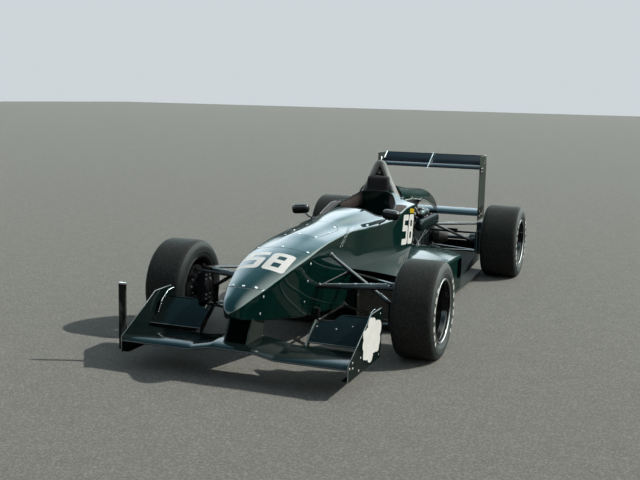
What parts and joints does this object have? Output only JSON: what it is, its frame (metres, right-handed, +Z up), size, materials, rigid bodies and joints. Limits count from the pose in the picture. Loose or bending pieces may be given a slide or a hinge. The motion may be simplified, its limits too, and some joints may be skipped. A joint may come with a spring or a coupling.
{
  "type": "open wheel racing car",
  "caption": "Single-seat open wheel racing car with slick tyres, front and rear wings, sidepods, an open cockpit and steered front wheels.",
  "frame": {"origin": "on the ground under the middle of the overall box", "axes": "+Z up, -Y towards the nose, +X to the car's left"},
  "size_m": [1.75, 4.09, 0.9812],
  "materials": {
    "body_green": "deep metallic green, high gloss",
    "wing_grey": "satin grey-green",
    "flap_black": "satin black",
    "rear_wing_blue": "dark blue-grey, glossy",
    "teal": "teal, glossy",
    "underbody": "matt black laminate",
    "black_metal": "satin black",
    "hoop_grey": "light grey paint",
    "engine_alloy": "cast, dull",
    "gearbox_alloy": "cast magnesium, dull",
    "airbox_grey": "grey laminate",
    "exhaust_steel": "heat tinted",
    "core_black": "fine black fins",
    "seat_pad": "dull brown-grey",
    "pad_grey": "dark padding",
    "rubber_tyre": "slick, worn tread",
    "rim_black": "black with a bright edge",
    "disc_iron": "worn disc, steel hub",
    "upright_metal": "machined, dull",
    "lamp_red": "red lens",
    "grip_black": "suede grip",
    "mirror_black": "black shell"
  },
  "bodies": {
    "root": {"nose_cone": "body_green", "monocoque": "body_green", "seat": "seat_pad", "headrest": "pad_grey", "roll_hoop": "hoop_grey", "engine_cover": "body_green", "sidepod_left": "body_green", "sidepod_right": "body_green", "radiators": "core_black", "floor": "underbody", "front_wing": "wing_grey", "front_flaps": "flap_black", "front_endplate_left": "wing_grey", "front_endplate_right": "wing_grey", "timing_strut": "black_metal", "front_wishbones_left": "black_metal", "front_wishbones_right": "black_metal", "mirrors": "mirror_black", "engine": "engine_alloy", "airbox": "airbox_grey", "exhaust": "exhaust_steel", "gearbox": "gearbox_alloy", "rain_light": "lamp_red", "rear_wishbones_left": "black_metal", "rear_wishbones_right": "black_metal", "rear_upright_left": "upright_metal", "rear_upright_right": "upright_metal", "beam_wing": "teal", "rear_wing": "rear_wing_blue", "rear_endplate_left": "wing_grey", "rear_endplate_right": "wing_grey", "brake_scoops": "teal"},
    "steering_wheel": {"steering_wheel": "grip_black"},
    "steering_rack": {"steering_rack": "black_metal"},
    "front_upright_left": {"front_upright_left": "upright_metal"},
    "wheel_front_left": {"front_tyre_left": "rubber_tyre", "front_rim_left": "rim_black", "front_hub_left": "disc_iron"},
    "wheel_rear_left": {"rear_tyre_left": "rubber_tyre", "rear_rim_left": "rim_black", "rear_hub_left": "disc_iron"},
    "front_upright_right": {"front_upright_right": "upright_metal"},
    "wheel_front_right": {"front_tyre_right": "rubber_tyre", "front_rim_right": "rim_black", "front_hub_right": "disc_iron"},
    "wheel_rear_right": {"rear_tyre_right": "rubber_tyre", "rear_rim_right": "rim_black", "rear_hub_right": "disc_iron"}
  },
  "joints": [
    {"name": "steer_left", "type": "hinge", "parent": "root", "child": "front_upright_left", "pos_m": [0.617, -1.145, 0.277], "axis": [0, 0, 1], "range_deg": [-18, 18]},
    {"name": "steer_right", "type": "hinge", "parent": "root", "child": "front_upright_right", "pos_m": [-0.617, -1.145, 0.277], "axis": [0, 0, 1], "range_deg": [-18, 18]},
    {"name": "rack_slide", "type": "slide", "parent": "root", "child": "steering_rack", "axis": [1, 0, 0], "range_m": [-0.0316, 0.0316]},
    {"name": "column_turn", "type": "hinge", "parent": "root", "child": "steering_wheel", "pos_m": [0, -0.205, 0.575], "axis": [0, 0.9826, 0.1857], "range_deg": [-181, 181]},
    {"name": "roll_front_left", "type": "hinge", "parent": "front_upright_left", "child": "wheel_front_left", "pos_m": [0.754, -1.145, 0.277], "axis": [1, 0, 0], "continuous": true},
    {"name": "roll_front_right", "type": "hinge", "parent": "front_upright_right", "child": "wheel_front_right", "pos_m": [-0.754, -1.145, 0.277], "axis": [1, 0, 0], "continuous": true},
    {"name": "roll_rear_left", "type": "hinge", "parent": "root", "child": "wheel_rear_left", "pos_m": [0.7285, 1.505, 0.288], "axis": [1, 0, 0], "continuous": true},
    {"name": "roll_rear_right", "type": "hinge", "parent": "root", "child": "wheel_rear_right", "pos_m": [-0.7285, 1.505, 0.288], "axis": [1, 0, 0], "continuous": true}
  ],
  "couplings": [
    {"joint": "steer_right", "follows": "steer_left", "ratio": 1},
    {"joint": "rack_slide", "follows": "steer_left", "m_per_rad": 0.1},
    {"joint": "column_turn", "follows": "steer_left", "ratio": 10}
  ]
}
